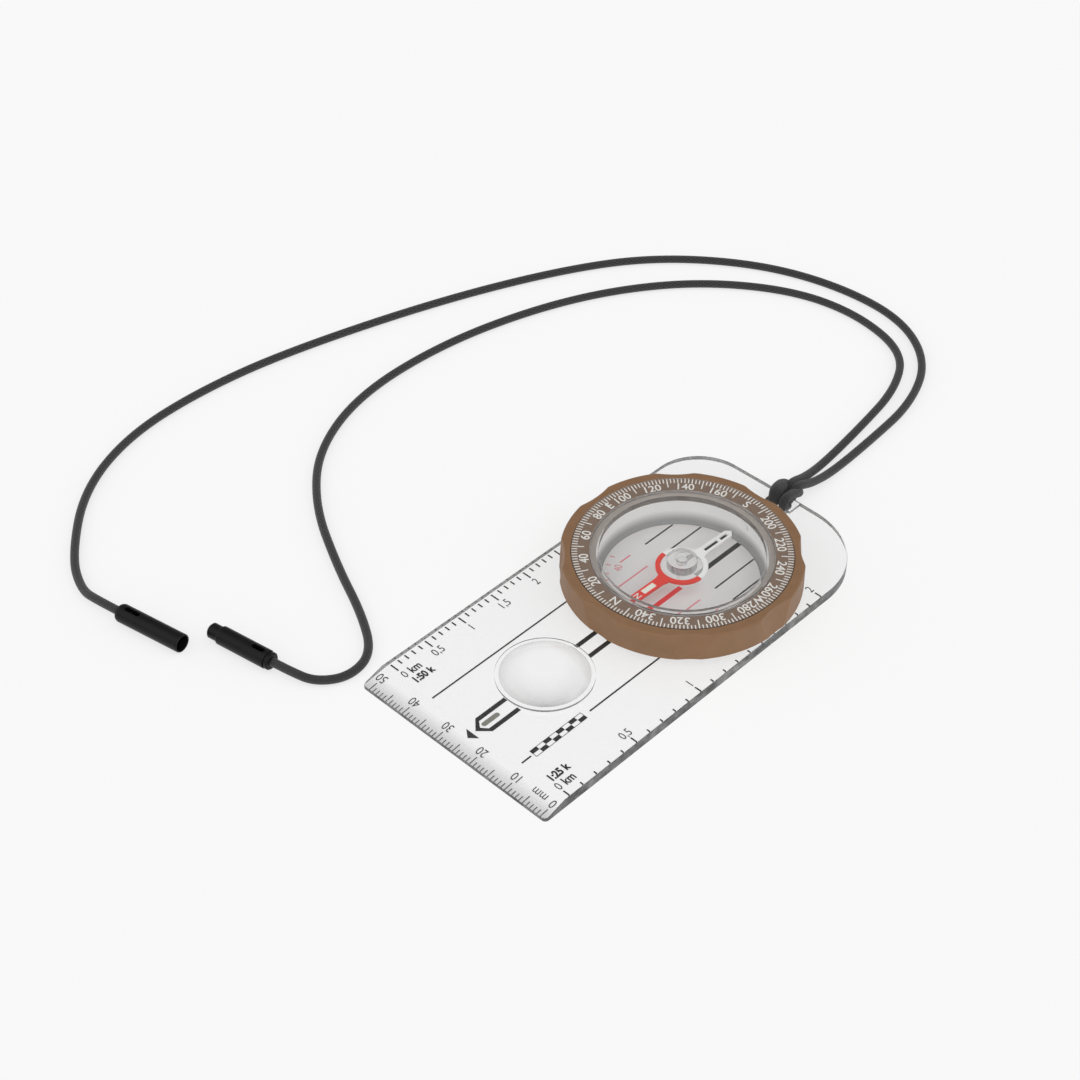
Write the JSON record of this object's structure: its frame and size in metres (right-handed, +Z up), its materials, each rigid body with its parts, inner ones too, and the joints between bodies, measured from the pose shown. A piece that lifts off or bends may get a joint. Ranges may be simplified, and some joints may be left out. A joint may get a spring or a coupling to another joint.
{
  "type": "baseplate compass",
  "caption": "Flat clear baseplate compass: a turning dial with a liquid capsule and needle, a moulded lens, printed rulers, and a neck cord with a breakaway connector.",
  "frame": {"origin": "centre of the plate's underside", "axes": "+Y is the direction of travel, towards the ruled front edge; +Z is up; +X is the user's right"},
  "size_m": [0.1562, 0.2083, 0.0098],
  "materials": {
    "clear_plastic": "clear moulded acrylic, polished",
    "brown_rubber": "matte brown soft-touch rubber",
    "scale_print": "brown plastic with printed white scale",
    "white_disc": "frosted disc with printed lines",
    "gasket": "pale seal",
    "pivot_metal": "turned",
    "pin_steel": "hardened steel point",
    "blade_steel": "steel painted red on the north half and white on the south half",
    "luminous": "luminous compound",
    "jewel": "polished jewel",
    "glide": "thin low-friction washer",
    "cord": "black braided cord",
    "connector": "black moulded plastic"
  },
  "bodies": {
    "baseplate": {"baseplate": "clear_plastic", "glide_washer": "glide", "lanyard_hitch": "cord", "lanyard_strand_a": "cord", "lanyard_strand_b": "cord", "breakaway_socket": "connector", "breakaway_plug": "connector", "cord_stop_a": "cord", "cord_stop_b": "cord"},
    "dial": {"grip_ring": "brown_rubber", "scale_ring": "scale_print", "capsule_cover": "clear_plastic", "capsule_base": "clear_plastic", "orienting_disc": "white_disc", "capsule_gasket": "gasket", "filler_plug": "clear_plastic", "pivot_post": "pivot_metal", "pivot_pin": "pin_steel", "retaining_ring": "glide"},
    "needle": {"needle_blade": "blade_steel", "luminous_insert": "luminous", "needle_hub": "clear_plastic", "bearing_jewel": "jewel"}
  },
  "joints": [
    {"name": "dial_turn", "type": "hinge", "parent": "baseplate", "child": "dial", "pos_m": [0, -0.01685, 0.003], "axis": [0, 0, 1], "continuous": true},
    {"name": "needle_swing", "type": "hinge", "parent": "dial", "child": "needle", "pos_m": [0, -0.01685, 0.0056], "axis": [0, 0, 1], "continuous": true}
  ]
}
